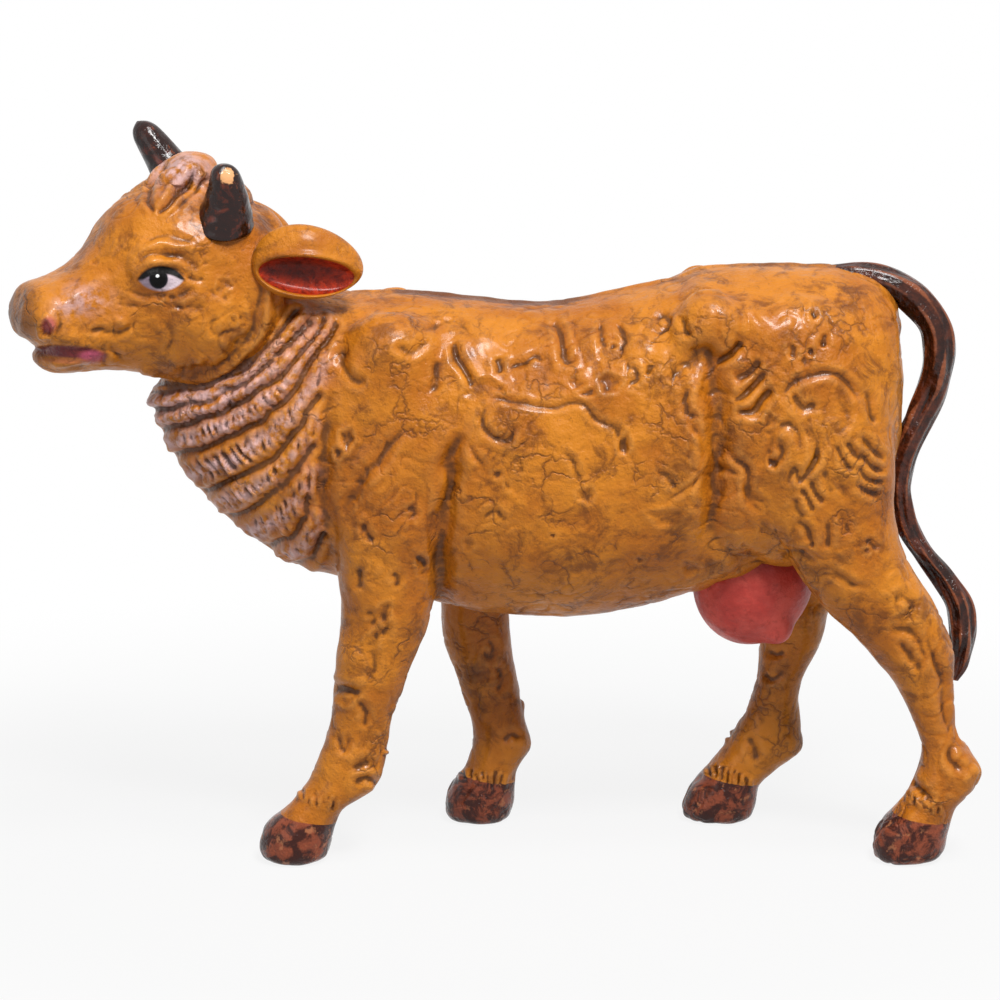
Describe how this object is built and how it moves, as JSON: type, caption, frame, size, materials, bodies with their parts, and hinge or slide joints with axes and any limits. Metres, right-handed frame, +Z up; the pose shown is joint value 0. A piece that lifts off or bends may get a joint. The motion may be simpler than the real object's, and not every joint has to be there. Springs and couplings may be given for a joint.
{
  "type": "cow figurine",
  "caption": "Hand-painted walking cow figurine, moulded in hollow halves with set-in legs, horns, ears, udder and tail, standing on flat hooves.",
  "frame": {"origin": "middle of the bounding box, on the ground under the hooves", "axes": "+X from the muzzle towards the tail, +Y towards the cow's right, +Z up"},
  "size_m": [0.1304, 0.0357, 0.0974],
  "materials": {
    "coat": "hand painted ochre brown, satin varnish, dark wash in the recesses",
    "leg_coat": "hand painted ochre brown with dark brown glossy hooves",
    "face_coat": "hand painted ochre brown, painted eyes and dark red lips, satin varnish",
    "horn": "hand painted dark brown, glossy varnish, worn at the tip",
    "ear": "hand painted ochre brown outside and dark red inside",
    "udder": "hand painted coral pink, satin varnish",
    "tail": "hand painted dark brown with lighter streaks, glossy varnish",
    "dowel": "bare moulded material"
  },
  "bodies": {
    "root": {"left_body_shell": "coat", "front_left_leg": "leg_coat", "rear_left_leg": "leg_coat", "left_head_shell": "face_coat", "left_horn": "horn", "left_ear": "ear", "right_body_shell": "coat", "front_right_leg": "leg_coat", "rear_right_leg": "leg_coat", "right_head_shell": "face_coat", "right_horn": "horn", "right_ear": "ear", "udder": "udder", "tail": "tail", "body_dowels": "dowel", "head_dowels": "dowel"}
  },
  "joints": []
}
